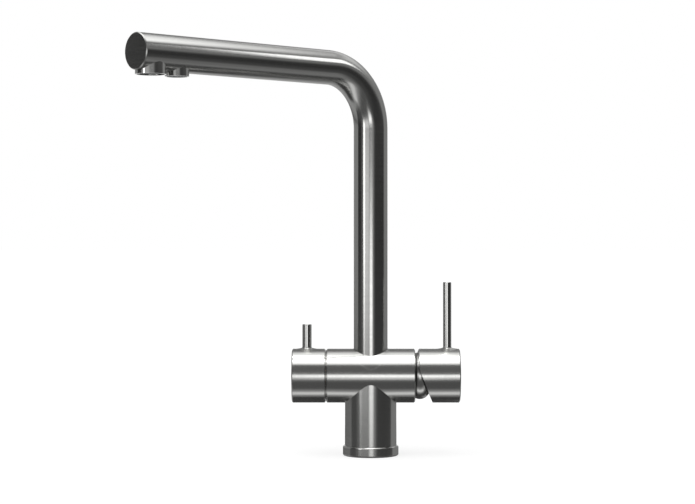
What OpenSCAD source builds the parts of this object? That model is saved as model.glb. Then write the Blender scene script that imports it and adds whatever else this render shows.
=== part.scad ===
// Three way kitchen tap for one worktop hole. The right handle mixes hot and cold
// water, the left handle opens filtered water, and the two waters leave the
// swivelling spout by outlets of their own.
// The origin is the centre of the foot on the worktop, on the column's axis.
// +X points to the mixer handle, -Y to the user and +Z up. Lengths are millimetres.

/* [Base] */
// Outer diameter of the ring that stands on the worktop
ring_d = 49; // [48.5:0.5:54]
// Height of the ring
ring_h = 9; // [9:0.5:14]
// Radius that softens the ring's upper edge
ring_top_round = 1.7; // [0.8:0.1:1.8]
// Radius that softens the ring's lower edge
ring_foot_round = 1.5; // [0.5:0.1:1.8]
// Width of the body's ledge that holds the ring down
ring_ledge = 2.5; // [2:0.25:3]
// Thickness of the rubber seal under the foot
gasket_t = 2; // [1.5:0.25:3]
// Width of the rubber seal
gasket_w = 4; // [3.5:0.25:4.25]

/* [Body] */
// Diameter of the upright lower half of the body
foot_d = 45.5; // [44.5:0.25:46]
// Length of the bar
bar_len = 78; // [76:0.5:90]
// Height of the bar's axis above the worktop
bar_z = 70; // [70:1:90]
// Chamfer on each end of the bar and of the handles
end_chamfer = 0.9; // [0.4:0.1:1.2]

/* [Supply ports] */
// Circle on which the ports and the fixing stud stand
port_circle_d = 21; // [20:0.5:22]
// Core diameter of each tapped hose port
hose_core_d = 9; // [8.5:0.25:9.5]
// Tapped length of each hose port
hose_tap_len = 10; // [8:0.5:12]
// Core diameter of the tapped hole for the fixing stud
stud_core_d = 6.8; // [5:0.2:7.2]
// Tapped length of the stud hole
stud_tap_len = 14; // [10:0.5:18]

/* [Spout] */
// Outer diameter of the spout tube
spout_d = 30; // [29.5:0.25:31]
// Wall of the spout tube
spout_wall = 1.2; // [1:0.1:1.25]
// Radius of the bend, to the middle of the tube
bend_r = 51; // [40:1:70]
// Height of the arm's axis above the worktop
arm_z = 339; // [260:1:400]
// Reach of the spout from the column's axis
reach = 254; // [200:1:280]
// Turn of the spout at rest from straight ahead, towards the filter handle
spout_turn = 47.5; // [0:0.5:120]
// Thickness of the plate that closes the spout's end
end_plate_t = 1.5; // [1:0.25:2]
// Length of the end plate's plug inside the tube
end_plug_len = 0.5; // [0.25:0.25:0.5]
// Chamfer round the end plate
end_plate_chamfer = 0.7; // [0.3:0.1:0.8]

/* [Mixed water outlet] */
// Outer diameter of the outlet collar
main_collar_d = 25; // [24.5:0.25:25.5]
// Distance of the outlet's axis from the spout's end
main_outlet_in = 14.8; // [14.8:0.2:18]
// Height of the collar below the tube's lowest line
main_drop = 2.8; // [2:0.2:6]
// Wall of the outlet collars
collar_wall = 1.3; // [1:0.1:1.4]
// Depth of the inserts behind the collars' rims
insert_recess = 0.6; // [0.3:0.1:1.2]
// Height of the aerator cartridge
aerator_h = 7.6; // [6.5:0.2:8]
// Wall of the aerator cartridge
aerator_wall = 1.5; // [1:0.1:2]
// Thickness of the aerator's honeycomb face
comb_t = 2.4; // [1.6:0.2:3]
// Distance between the cells of the honeycomb
comb_pitch = 2.5; // [2.3:0.1:3]
// Wall between two cells
comb_wall = 0.55; // [0.4:0.05:0.8]
// Thickness of the rubber washer above the aerator
washer_t = 1.4; // [1:0.1:1.8]

/* [Filtered water outlet] */
// Outer diameter of the outlet collar
filter_collar_d = 19.6; // [19:0.2:20.4]
// Distance between the two outlets' axes
outlet_spacing = 26; // [25:0.5:32]
// Height of the collar below the tube's lowest line
filter_drop = 3.1; // [2:0.1:6]
// Outer diameter of the inner tube for filtered water
inner_tube_d = 8; // [7:0.25:9]
// Bore of the inner tube
inner_tube_bore = 5.6; // [5:0.1:5.8]
// Diameter of the elbow block above the outlet
elbow_d = 15; // [13.5:0.25:15.5]
// Height of the elbow block above the inner tube's axis
elbow_rise = 5.5; // [5:0.25:7]
// Reach of the elbow's socket from the outlet's axis
elbow_reach = 12; // [11:0.5:15]
// Depth to which the inner tube enters the socket
socket_hold = 6; // [3:0.5:6.5]

/* [Spout swivel] */
// Height of the socket floor above the bar's axis
socket_rise = 11; // [9:0.5:12]
// Diameter of the bore below the socket
swivel_bore_d = 26; // [25.5:0.25:26.5]
// Depth of that bore
swivel_depth = 24.5; // [24:0.5:28]
// Diameter of the adapter's two journals
journal_d = 22.9; // [22.5:0.1:23.3]
// Waterway through the adapter
adapter_bore_d = 18; // [17:0.25:18.5]
// Height of the adapter's plug inside the tube
adapter_plug_h = 14; // [10:0.5:20]
// Height of the swivel bushes
bush_h = 4; // [3:0.25:4.25]
// Thickness of the upper bush's flange
bush_flange_t = 1.5; // [1:0.25:2]
// Depth of the seal grooves
seal_groove_depth = 1.6; // [1.4:0.1:1.9]
// Width of the seal grooves
seal_groove_w = 2.4; // [2.2:0.1:2.8]
// Diameter of the thread that locks the spout
lock_screw_d = 5; // [4:0.25:6]
// Diameter of the lock screw's point
lock_point_d = 3; // [2:0.25:3.25]
// Height of the mixing chamber under the adapter
chamber_h = 4.5; // [3:0.5:6]
// Diameter of the filtered water nipple
nipple_d = 9.9; // [9:0.1:10.5]
// Depth to which the nipple enters the body
nipple_depth = 12; // [10:0.5:14]
// Bore of the nipple
nipple_bore = 3.6; // [3:0.1:3.8]

/* [Mixer cartridge] */
// Diameter of the cartridge's foot
cart_d = 35; // [34.5:0.25:35.5]
// Depth of the cartridge's seat inside the bar
cart_depth = 20; // [19.5:0.25:21]
// Thickness of the cartridge's base
cart_base_t = 4; // [3:0.25:4.5]
// Length of the housing's wide skirt above the base
cart_skirt_len = 8.2; // [7.8:0.2:8.4]
// Diameter of the housing above its shoulder
cart_neck_d = 28.4; // [28:0.2:29]
// Length of the whole cartridge housing, from its seat
cart_len = 23; // [22.5:0.25:23.5]
// Thickness of the housing's upper lip
cart_lip_t = 2; // [1.5:0.25:2]
// Diameter of the fixed ceramic disc
fixed_disc_d = 27.2; // [26.8:0.1:27.2]
// Thickness of the fixed ceramic disc
fixed_disc_t = 3.5; // [3:0.25:3.5]
// Diameter of the moving ceramic disc
moving_disc_d = 23.2; // [21:0.2:23.2]
// Thickness of the moving ceramic disc
moving_disc_t = 2.95; // [2.5:0.05:3]
// Diameter of the three waterways
port_d = 5.2; // [4:0.2:5.6]
// Circle on which the three waterways lie
port_ring_d = 17; // [16:0.25:17.5]
// Width of the rubber ring round each waterway
port_seal_w = 1.4; // [1:0.1:1.6]
// Thickness of the rubber rings
port_seal_t = 1.6; // [1.2:0.1:2]
// Bore of the housing round the turret
turret_bore_d = 24.8; // [24.6:0.1:25]
// Diameter of the turret's neck
turret_neck_d = 18.2; // [17.6:0.1:18.8]
// Length of the turret's neck beyond the housing
turret_out = 5; // [4:0.25:5]

/* [Mixer linkage] */
// Lift of the mixer handle from shut to full flow, in degrees
lift_max = 25; // [20:1:25]
// Height of the pivot pin above the cartridge's seat
pivot_h = 22.5; // [22:0.25:23]
// Diameter of the pivot pin
pivot_pin_d = 3; // [2.5:0.1:3.2]
// Distance from the pivot to the ball that drives the moving disc
ball_arm = 9.5; // [9:0.25:9.75]
// Diameter of that ball
ball_d = 4; // [3.6:0.1:4.2]
// Diameter of the stem's neck above the ball
stem_neck_d = 2.8; // [2.2:0.1:3]
// Diameter of the stem's eye round the pin
stem_eye_d = 7.2; // [6:0.2:7.6]
// Thickness of the stem's blade inside the turret
stem_blade_t = 5.6; // [4.8:0.1:5.6]
// Side of the stem's square end
stem_square = 8; // [7:0.25:8.25]
// Thickness of the disc carrier
carrier_t = 4.7; // [4.5:0.1:4.9]
// Length of the disc carrier along its travel
carrier_len = 16; // [13:0.5:16]
// Width of the disc carrier
carrier_w = 12; // [10:0.25:12]

/* [Cartridge nut and cover] */
// Diameter of the nut's thread
nut_d = 38; // [37.5:0.25:38.5]
// Height of the nut
nut_h = 6.8; // [6:0.1:7]
// Thickness of the nut's web on the cartridge's shoulder
nut_web_t = 2.4; // [2:0.1:3]
// Radius of the cover's rounded ring
cover_round = 9; // [8:0.25:10]
// Radial gap between the cover's ring and the mixer handle's hollow
cover_gap = 1.3; // [1:0.1:1.8]
// Radial gap between the cover's mouth and the turret's neck
cover_mouth_gap = 4.1; // [3.8:0.1:4.4]
// Distance of the rounded ring's middle from the bar's end
cover_out = 4.2; // [3.4:0.1:5]
// Wall of the cover's threaded skirt
cover_wall = 1.4; // [1:0.1:1.6]
// Diameter of the cover's threaded skirt
cover_skirt_d = 34.4; // [34:0.1:34.8]

/* [Mixer handle] */
// Diameter of both handles and of the bar between them
handle_d = 47.5; // [47:0.5:52]
// Gap between the bar's end and the mixer handle
handle_gap = 2.75; // [2.5:0.25:4.5]
// Length of the mixer handle
handle_len = 36.75; // [35:0.25:46]
// Depth of the hollow that clears the cover
handle_hollow = 17.25; // [17:0.25:18.5]
// Wall round that hollow
handle_wall = 1.75; // [1.5:0.25:2.25]
// Height above the axis at which the slanting cut begins
cut_rise = 8.4; // [4:0.1:12]
// Slant of the cut, in degrees
cut_angle = 21.7; // [20:0.1:30]
// Distance of the lever's axis from the handle's outer end
lever_inset = 11; // [9:0.25:13]
// Diameter of the mixer lever
lever_d = 7.4; // [6:0.1:9]
// Height of the mixer lever above the handle
lever_len = 58.7; // [40:0.5:90]
// Edge radius at the top of the levers
lever_round = 0.8; // [0.4:0.1:1.4]
// Radius of the flare at the levers' roots
root_flare = 1.4; // [0.8:0.1:2]
// Depth to which the levers' full width is let in
lever_seat = 1.5; // [1:0.1:2.5]
// Diameter of the levers' screwed ends
lever_shank_d = 5; // [4:0.25:5.5]
// Length of the levers' screwed ends
lever_shank_len = 8; // [6:0.5:10]
// Solid end beyond the stem's socket
handle_end_wall = 6; // [4:0.25:7]
// Diameter of the handles' grub screws
grub_d = 5; // [4:0.25:5.5]
// Length of the handles' grub screws
grub_len = 8; // [6:0.5:10]

/* [Filter valve] */
// Depth of the valve's seat inside the bar
valve_depth = 19.5; // [19:0.25:20.5]
// Diameter of the valve's cage
valve_cage_d = 17.6; // [17:0.1:18]
// Length of the cage
valve_cage_len = 9.5; // [9.5:0.1:10]
// Wall of the cage
valve_cage_wall = 1.2; // [0.9:0.05:1.25]
// Diameter of the valve's thread
valve_thread_d = 20; // [19:0.25:20.5]
// Length of that thread
valve_thread_len = 3; // [2.5:0.25:3.5]
// Width across the flats of the valve's hexagon
valve_hex = 22; // [21:0.25:22.5]
// Thickness of the fibre washer under the hexagon
valve_washer_t = 1; // [0.8:0.1:1.4]
// Length of the hexagon
valve_hex_len = 5; // [4.5:0.1:5.2]
// Diameter of the recess that holds the hexagon
valve_recess_d = 28; // [27:0.25:30]
// Diameter of the valve's neck
valve_neck_d = 14; // [12:0.25:16]
// Length of the valve's neck
valve_neck_len = 7; // [6:0.25:7.25]
// Diameter of the spindle
spindle_d = 8.9; // [8.4:0.1:9.1]
// Thickness of the lower seal
valve_seal_t = 1; // [0.8:0.1:1.2]
// Thickness of the fixed disc of the filter valve
valve_fixed_t = 2.5; // [2:0.1:2.7]
// Thickness of the turning disc of the filter valve
valve_moving_t = 2.9; // [2.4:0.1:3]
// Thickness of the spindle's drive foot
drive_foot_t = 2.6; // [2:0.1:2.6]
// Teeth round the spindle's splined end
spline_teeth = 20; // [12:2:24]
// Outer diameter of the splined end
spline_d = 8; // [7.4:0.1:8.2]
// Depth of the spline's teeth
spline_depth = 0.55; // [0.4:0.05:0.7]
// Length of the splined end
spline_len = 13; // [10:0.5:14]
// Thickness of the clip that keeps the spindle in
clip_t = 1; // [0.8:0.1:1.2]

/* [Filter handle] */
// Gap between the bar's end and the filter handle
knob_gap = 0.7; // [0.6:0.1:2]
// Depth of that gap, down to a low step on the bar's end
knob_gap_depth = 1.25; // [1:0.25:3]
// Length of the filter handle
knob_len = 29.6; // [29:0.2:40]
// Diameter of the filter handle's hollow
knob_hollow_d = 20; // [18:0.5:26]
// Depth of that hollow
knob_hollow = 9.5; // [9:0.25:10]
// Distance of the filter lever's axis from the handle's inner end
pin_in = 16.5; // [14:0.25:19]
// Diameter of the filter lever
pin_d = 8.2; // [7:0.1:9]
// Height of the filter lever above the handle
pin_len = 21.6; // [15:0.2:40]

/* [Clearances] */
// Radial clearance of a turning fit
running_fit = 0.05; // [0.02:0.01:0.08]
// Film of grease between sliding flat faces
film = 0.05; // [0.02:0.01:0.1]
// Clearance of a piece that is fastened in its seat
seat_fit = 0.1; // [0.05:0.01:0.15]
// Open gap between pieces that only pass each other
pass_gap = 0.3; // [0.2:0.05:0.4]

/* [Hidden] */
$fn = 96;
// Extra length by which a cut runs past the face that it opens
overrun = 2;
// Relief at the foot of a press or thread, so that corners never meet
relief = 0.25;
// Colours of the finishes
steel_color = [0.72, 0.72, 0.7];
brass_color = [0.78, 0.62, 0.32];
rubber_color = [0.1, 0.1, 0.11];
plastic_color = [0.86, 0.87, 0.88];
ceramic_color = [0.95, 0.95, 0.92];
screw_color = [0.45, 0.45, 0.47];

// Base
foot_r = foot_d / 2;
spigot_r = foot_r - ring_ledge;
gasket_out_r = spigot_r + gasket_w / 2 - seat_fit;
gasket_in_r = gasket_out_r - gasket_w;

// Bar and column
bar_r = handle_d / 2;
bar_end = bar_len / 2;
spout_r = spout_d / 2;
tube_in_r = spout_r - spout_wall;

// Swivel, from the socket's floor
socket_z = bar_z + socket_rise;
tube_foot = socket_z + bush_flange_t + film;
bore_floor = socket_z - swivel_depth;
swivel_r = swivel_bore_d / 2;
journal_r = journal_d / 2;
bush_in_r = journal_r + running_fit;
bush_out_r = swivel_r - running_fit;
land_r = swivel_r - pass_gap;
groove_r = land_r - seal_groove_depth;
adapter_foot = bore_floor + pass_gap;
land_low = bore_floor + bush_h + film;
land_high = socket_z - bush_h - film;
lock_z = (land_low + land_high) / 2;
groove_gap = (land_high - land_low) / 4 + seal_groove_w / 4;
lock_groove_w = lock_point_d + 2 * pass_gap;
chamber_floor = bore_floor - chamber_h;
nipple_r = nipple_d / 2;
nipple_bore_r = nipple_r + running_fit;
nipple_foot = chamber_floor - nipple_depth + pass_gap;
nipple_groove_r = nipple_r - seal_groove_depth;
nipple_collar_top = bore_floor + bush_h - relief;
nipple_barb_len = 2 * bush_h;

// Spout arm, from the column's axis along the arm
tube_end = reach - end_plate_t;
main_s = reach - main_outlet_in;
filter_s = main_s - outlet_spacing;
tube_low = arm_z - spout_r;
main_collar_r = main_collar_d / 2;
main_rim_z = tube_low - main_drop;
main_collar_top = arm_z - sqrt(pow(tube_in_r, 2) - pow(main_collar_r, 2)) + relief;
filter_collar_r = filter_collar_d / 2;
filter_rim_z = tube_low - filter_drop;
filter_collar_top = arm_z - sqrt(pow(tube_in_r, 2) - pow(filter_collar_r, 2)) + relief;
aerator_r = main_collar_r - collar_wall - seat_fit;
aerator_foot = main_rim_z + insert_recess;
aerator_top = aerator_foot + aerator_h;
comb_r = aerator_r - aerator_wall - seat_fit;
comb_lip = aerator_wall / 2;
washer_top = aerator_top + washer_t;
filter_insert_r = filter_collar_r - collar_wall - seat_fit;
elbow_foot = filter_collar_top - collar_wall;
inner_tube_r = inner_tube_d / 2;
inner_tube_end = filter_s - elbow_reach + socket_hold;

// Mixer cartridge, outwards along the bar from the seat
cart_r = cart_d / 2;
cart_seat = bar_end - cart_depth;
cart_base_top = cart_seat + cart_base_t;
fixed_disc_top = cart_base_top + fixed_disc_t;
moving_disc_foot = fixed_disc_top + film;
moving_disc_top = moving_disc_foot + moving_disc_t;
carrier_top = moving_disc_top + carrier_t;
cart_shoulder = cart_base_top + cart_skirt_len;
cart_top = cart_seat + cart_len;
lip_foot = cart_top - cart_lip_t;
disc_room_r = fixed_disc_d / 2 + seat_fit;
turret_r = turret_bore_d / 2 - seat_fit;
turret_neck_r = turret_neck_d / 2;
turret_foot = carrier_top + 2 * pass_gap;
turret_top = cart_top + turret_out;
turret_shoulder = lip_foot - seat_fit;
pivot_x = cart_seat + pivot_h;
pivot_r = pivot_pin_d / 2;
slot_half = stem_blade_t / 2 + pass_gap / 2;
blade_swing = (turret_top - pivot_x) * tan(lift_max) + stem_blade_t / 2 / cos(lift_max) + pass_gap;
ball_x = pivot_x - ball_arm;
ball_travel = ball_arm * sin(lift_max);
disc_rest = -ball_travel / 2;
square_foot = pivot_x + (turret_top - pivot_x + pass_gap + stem_square / 2 * sin(lift_max)) / cos(lift_max);
nut_r = nut_d / 2;
nut_top = cart_shoulder + nut_h;
cover_x = bar_end + cover_out;
cover_roof = cover_x + cover_round / 2;
cover_skirt_r = cover_skirt_d / 2;
cover_skirt_foot = cart_shoulder + nut_web_t;
cover_ring_r = bar_r - handle_wall - cover_gap - cover_round;

// Handles
handle_x = bar_end + handle_gap;
handle_end = handle_x + handle_len;
handle_floor = handle_x + handle_hollow;
stem_end = handle_end - handle_end_wall;
lever_x = handle_end - lever_inset;
handle_top = bar_z + bar_r;
lever_seat_z = handle_top - lever_seat;
knob_x = bar_end + knob_gap;
knob_end = knob_x + knob_len;
knob_floor = knob_x + knob_hollow;
pin_x = knob_x + pin_in;
bar_step_x = knob_x - pass_gap;

// Filter valve, outwards along the bar from the seat
valve_seat = bar_end - valve_depth;
cage_foot = valve_seat + valve_seal_t;
cage_r = valve_cage_d / 2;
cage_in_r = cage_r - valve_cage_wall;
valve_disc_r = cage_in_r - seat_fit;
valve_fixed_top = cage_foot + valve_fixed_t;
valve_moving_foot = valve_fixed_top + film;
valve_moving_top = valve_moving_foot + valve_moving_t;
drive_foot_top = valve_moving_top + drive_foot_t;
valve_thread_x = cage_foot + valve_cage_len;
valve_recess_x = valve_thread_x + valve_thread_len;
valve_hex_x = valve_recess_x + valve_washer_t;
valve_neck_x = valve_hex_x + valve_hex_len;
valve_neck_end = valve_neck_x + valve_neck_len;
spindle_r = spindle_d / 2;
clip_x = valve_neck_end + film;
spline_foot = clip_x + clip_t + film;
spline_top = spline_foot + spline_len;
spline_r = spline_d / 2;
spindle_groove_x = (valve_thread_x + valve_neck_end) / 2;
spindle_groove_r = spindle_r - spline_depth * 2;

// Places a child on the bar's right half: local Z points out of the mixer end, local X up.
module on_right(out) {
    translate([out, 0, bar_z]) rotate([0, 90, 0]) rotate([0, 0, 180]) children();
}

// Places a child on the bar's left half: local Z points out of the filter end, local X up.
module on_left(out) {
    translate([-out, 0, bar_z]) rotate([0, -90, 0]) children();
}

// Turns the spout from local +X to its rest direction.
module on_spout() {
    rotate([0, 0, -90 - spout_turn]) children();
}

// A turned bar of radius r from z = low to z = high, chamfered at both ends.
module turned(r, low, high, low_chamfer, high_chamfer) {
    rotate_extrude() polygon([[0, low], [r - low_chamfer, low], [r, low + low_chamfer],
        [r, high - high_chamfer], [r - high_chamfer, high], [0, high]]);
}

// A plain ring from z = low to z = high.
module ring(out_r, in_r, low, high) {
    translate([0, 0, low]) difference() {
        cylinder(r = out_r, h = high - low);
        translate([0, 0, -overrun]) cylinder(r = in_r, h = high - low + 2 * overrun);
    }
}

// A plain plug from z = low to z = high.
module plug(r, low, high) {
    translate([0, 0, low]) cylinder(r = r, h = high - low);
}

// A rubber ring of round section that fills the groove between two radii.
module o_ring(in_r, out_r, z) {
    section_r = (out_r - in_r) / 2 - running_fit;
    translate([0, 0, z]) rotate_extrude() translate([(out_r + in_r) / 2, 0])
        circle(r = section_r, $fn = 32);
}

// A grub screw along +Z with a hexagon socket in its lower end.
module grub_screw(d, low, high) {
    difference() {
        turned(d / 2, low, high, d / 10, d / 10);
        plug_socket(d / 4, low, d / 2);
    }
}

// The hexagon socket of a screw, open downwards at z = low.
module plug_socket(r, low, depth) {
    translate([0, 0, low - overrun]) cylinder(r = r, h = depth + overrun, $fn = 6);
}

// The spout's path as a solid rod: column, bend and arm, the arm along local +X.
module bent_rod(r, low, far) {
    bend_z = arm_z - bend_r;
    translate([0, 0, low]) cylinder(r = r, h = bend_z - low);
    translate([bend_r, 0, bend_z]) rotate([90, 0, 180]) rotate_extrude(angle = 90)
        translate([bend_r, 0]) circle(r = r);
    translate([bend_r, 0, arm_z]) rotate([0, 90, 0]) cylinder(r = r, h = far - bend_r);
}

// A honeycomb of open cells inside radius r, from z = low to z = high.
module comb_cells(r, low, high) {
    rows = ceil(r / comb_pitch) + 1;
    cell_r = (comb_pitch - comb_wall) / sqrt(3);
    for (i = [-rows:rows], j = [-rows:rows]) {
        x = comb_pitch * (i + j / 2);
        y = comb_pitch * j * sqrt(3) / 2;
        if (norm([x, y]) + cell_r + comb_wall < r)
            translate([x, y, low]) rotate(30) cylinder(r = cell_r, h = high - low, $fn = 6);
    }
}

// The three waterways of the cartridge: hot, cold and mixed.
module three_ports(r, low, high) {
    for (turn = [60, 180, 300])
        rotate(turn) translate([port_ring_d / 2, 0, low]) cylinder(r = r, h = high - low);
}

// Outline of the spindle's splined end, grown outwards by extra.
module spline_outline(extra) {
    polygon([for (k = [0:2 * spline_teeth - 1])
        let (r = spline_r + extra - (k % 2) * spline_depth, turn = 180 * k / spline_teeth)
            [r * cos(turn), r * sin(turn)]]);
}

// A lever: a round rod with a softened top and a screwed lower end.
module lever(d, x, len) {
    r = d / 2;
    top = handle_top + len;
    shank_z = lever_seat_z - lever_shank_len;
    translate([x, 0, 0]) rotate_extrude() union() {
        polygon([[0, shank_z], [lever_shank_d / 2 - relief, shank_z],
            [lever_shank_d / 2, shank_z + relief], [lever_shank_d / 2, lever_seat_z],
            [r, lever_seat_z], [r, top - lever_round], [0, top - lever_round]]);
        square_top(r, top);
    }
}

// Half section of a lever's softened top, down to where its side is straight.
module square_top(r, top) {
    polygon(concat([[0, top - 2 * lever_round], [r, top - 2 * lever_round]],
        [for (a = [0:15:90]) [r - lever_round * (1 - cos(a)), top - lever_round * (1 - sin(a))]],
        [[0, top]]));
}

// The seat of a lever: a flared collar on the handle's crest.
module lever_collar(d, x) {
    r = d / 2 + seat_fit;
    foot = handle_top - lever_seat;
    translate([x, 0, 0]) rotate_extrude() polygon(concat([[0, foot], [r + root_flare, foot]],
        [for (a = [0:15:90]) [r + root_flare * (1 - sin(a)), handle_top + root_flare * (1 - cos(a))]],
        [[0, handle_top + root_flare]]));
}

// The hole for a lever: its full width, then its screwed end.
module lever_hole(d, x) {
    translate([x, 0, 0]) {
        plug(d / 2 + seat_fit, lever_seat_z, handle_top + root_flare + overrun);
        plug(lever_shank_d / 2 + seat_fit, lever_seat_z - lever_shank_len - relief,
            lever_seat_z + overrun);
    }
}

// The cast and turned body: lower half, bar with a low step at its filter end, sockets for
// the spout and both valves.
module body() {
    color(steel_color) difference() {
        union() {
            plug(spigot_r, gasket_t, ring_h + overrun);
            plug(foot_r, ring_h, bar_z);
            on_right(0) turned(bar_r, -bar_end, bar_end, end_chamfer, end_chamfer);
            on_left(0) plug(bar_r - knob_gap_depth, 0, bar_step_x);
        }
        spout_socket();
        supply_ports();
        mixer_socket();
        valve_socket();
    }
}

// Socket, swivel bore, mixing chamber and nipple bore in the body, and the lock screw's thread.
module spout_socket() {
    plug(spout_r + pass_gap, socket_z, bar_z + handle_d);
    plug(swivel_r, bore_floor, socket_z + overrun);
    plug(adapter_bore_d / 2, chamber_floor, bore_floor + overrun);
    plug(nipple_bore_r, chamber_floor - nipple_depth, chamber_floor + overrun);
    translate([0, 0, lock_z]) rotate([-90, 0, 0]) plug(lock_screw_d / 2 + seat_fit, land_r, handle_d);
}

// Blind tapped ports in the foot: cold and hot at the sides, filtered behind, stud in front.
module supply_ports() {
    for (turn = [0, 90, 180])
        rotate(turn) translate([port_circle_d / 2, 0, 0])
            plug(hose_core_d / 2, gasket_t - overrun, gasket_t + hose_tap_len);
    translate([0, -port_circle_d / 2, 0])
        plug(stud_core_d / 2, gasket_t - overrun, gasket_t + stud_tap_len);
}

// Stepped socket for the mixer cartridge and its nut, with the three ports in its floor.
module mixer_socket() {
    on_right(0) {
        plug(cart_r + seat_fit, cart_seat, bar_end + overrun);
        plug(nut_r + seat_fit, cart_shoulder - relief, bar_end + overrun);
        three_ports(port_d / 2, cart_seat - port_seal_t, cart_seat + overrun);
    }
}

// Stepped socket for the filter valve, with its port in the floor.
module valve_socket() {
    on_left(0) {
        plug(cage_r + seat_fit, valve_seat, bar_end);
        plug(valve_thread_d / 2 + seat_fit, valve_thread_x, bar_end);
        plug(valve_recess_d / 2, valve_recess_x, bar_step_x + overrun);
        plug(cage_in_r / 2, valve_seat - port_seal_t, valve_seat + overrun);
    }
}

// The ring that covers the edge of the worktop hole.
module base_ring() {
    color(steel_color) difference() {
        rotate_extrude() polygon(concat([[spigot_r + seat_fit, 0]],
            [for (a = [0:15:90]) [ring_d / 2 - ring_foot_round * (1 - sin(a)),
                ring_foot_round * (1 - cos(a))]],
            [for (a = [0:15:90]) [ring_d / 2 - ring_top_round * (1 - cos(a)),
                ring_h - ring_top_round * (1 - sin(a))]],
            [[spigot_r + seat_fit, ring_h]]));
        plug(gasket_out_r + seat_fit, -overrun, gasket_t);
    }
}

// The rubber seal between the foot and the worktop.
module base_gasket() {
    color(rubber_color) ring(gasket_out_r, gasket_in_r, 0, gasket_t);
}

// The flanged bush on which the spout tube turns.
module upper_bush() {
    color(plastic_color) {
        difference() {
            union() {
                plug(bush_out_r, socket_z - bush_h, socket_z + bush_flange_t);
                plug(spout_r, socket_z, socket_z + bush_flange_t);
            }
            plug(bush_in_r, socket_z - bush_h - overrun, socket_z + bush_flange_t + overrun);
        }
    }
}

// The plain bush at the bottom of the swivel bore.
module lower_bush() {
    color(plastic_color) ring(bush_out_r, bush_in_r, bore_floor, bore_floor + bush_h);
}

// The screw in the back of the bar whose point runs in the adapter's groove.
module spout_lock_screw() {
    color(screw_color) translate([0, 0, lock_z]) rotate([90, 0, 0]) {
        grub_screw(lock_screw_d, -bar_r + end_chamfer + relief, -swivel_r - relief);
        plug(lock_point_d / 2, -swivel_r - 2 * relief, -groove_r - pass_gap);
    }
}

// The cartridge's base: a disc with three waterways and a seat for each rubber ring.
module cartridge_base() {
    color(plastic_color) on_right(0) difference() {
        plug(cart_r, cart_seat, cart_base_top);
        three_ports(port_d / 2, cart_seat - overrun, cart_base_top + overrun);
        three_ports(port_d / 2 + port_seal_w + seat_fit, cart_seat - overrun, cart_seat + port_seal_t);
    }
}

// The three rubber rings that seal the base on its seat.
module cartridge_seals() {
    color(rubber_color) on_right(0) difference() {
        three_ports(port_d / 2 + port_seal_w, cart_seat, cart_seat + port_seal_t);
        three_ports(port_d / 2, cart_seat - overrun, cart_seat + port_seal_t + overrun);
    }
}

// The housing that holds the discs and the turret.
module cartridge_housing() {
    color(plastic_color) on_right(0) difference() {
        union() {
            plug(cart_r, cart_base_top, cart_shoulder);
            plug(cart_neck_d / 2, cart_shoulder - overrun, cart_top);
        }
        plug(disc_room_r, cart_base_top - overrun, moving_disc_top + relief);
        plug(turret_bore_d / 2, cart_base_top, lip_foot);
        plug(turret_neck_r + seat_fit, lip_foot - overrun, cart_top + overrun);
    }
}

// The ceramic disc that stands still, with its three ports.
module fixed_disc() {
    color(ceramic_color) on_right(0) difference() {
        plug(fixed_disc_d / 2, cart_base_top, fixed_disc_top);
        three_ports(port_d / 2, cart_base_top - overrun, fixed_disc_top + overrun);
    }
}

// The ceramic disc that slides over the ports, with the mixing pocket in its face.
module moving_disc() {
    color(ceramic_color) on_right(0) translate([disc_rest, 0, 0]) difference() {
        plug(moving_disc_d / 2, moving_disc_foot, moving_disc_top);
        plug(port_ring_d / 2 - port_d / 2, moving_disc_foot - overrun, moving_disc_foot + moving_disc_t / 2);
    }
}

// The carrier that takes the stem's ball and slides with the moving disc.
module disc_carrier() {
    pocket_r = ball_d / 2 + pass_gap;
    color(plastic_color) on_right(0) difference() {
        translate([disc_rest - carrier_len / 2, -carrier_w / 2, moving_disc_top])
            cube([carrier_len, carrier_w, carrier_t]);
        plug(pocket_r, ball_x - ball_d / 2 - pass_gap / 2, carrier_top + overrun);
    }
}

// The turret turns in the housing, guides the carrier and carries the stem's pin.
module turret() {
    cheek_in = carrier_w / 2 + pass_gap;
    cheek_len = carrier_w;
    cheek_out = sqrt(pow(turret_r, 2) - pow(cheek_len / 2, 2)) - pass_gap;
    color(plastic_color) on_right(0) difference() {
        union() {
            plug(turret_r, turret_foot, turret_shoulder);
            plug(turret_neck_r, turret_foot, turret_top);
            for (side = [-1, 1])
                translate([-cheek_len / 2, side > 0 ? cheek_in : -cheek_out, moving_disc_top + 2 * pass_gap])
                    cube([cheek_len, cheek_out - cheek_in, turret_foot - moving_disc_top]);
        }
        translate([-blade_swing, -slot_half, turret_foot - overrun])
            cube([2 * blade_swing, 2 * slot_half, turret_top - turret_foot + 2 * overrun]);
        pivot_bore(pivot_r + film / 2, turret_neck_r + overrun);
    }
}

// A bore along the pivot's axis, half long to each side, in the bar's right frame.
module pivot_bore(r, half) {
    translate([0, 0, pivot_x]) rotate([90, 0, 0]) plug(r, -half, half);
}

// The pin on which the stem tilts.
module pivot_pin() {
    color(steel_color) on_right(0) pivot_bore(pivot_r, turret_neck_r - pass_gap);
}

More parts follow.
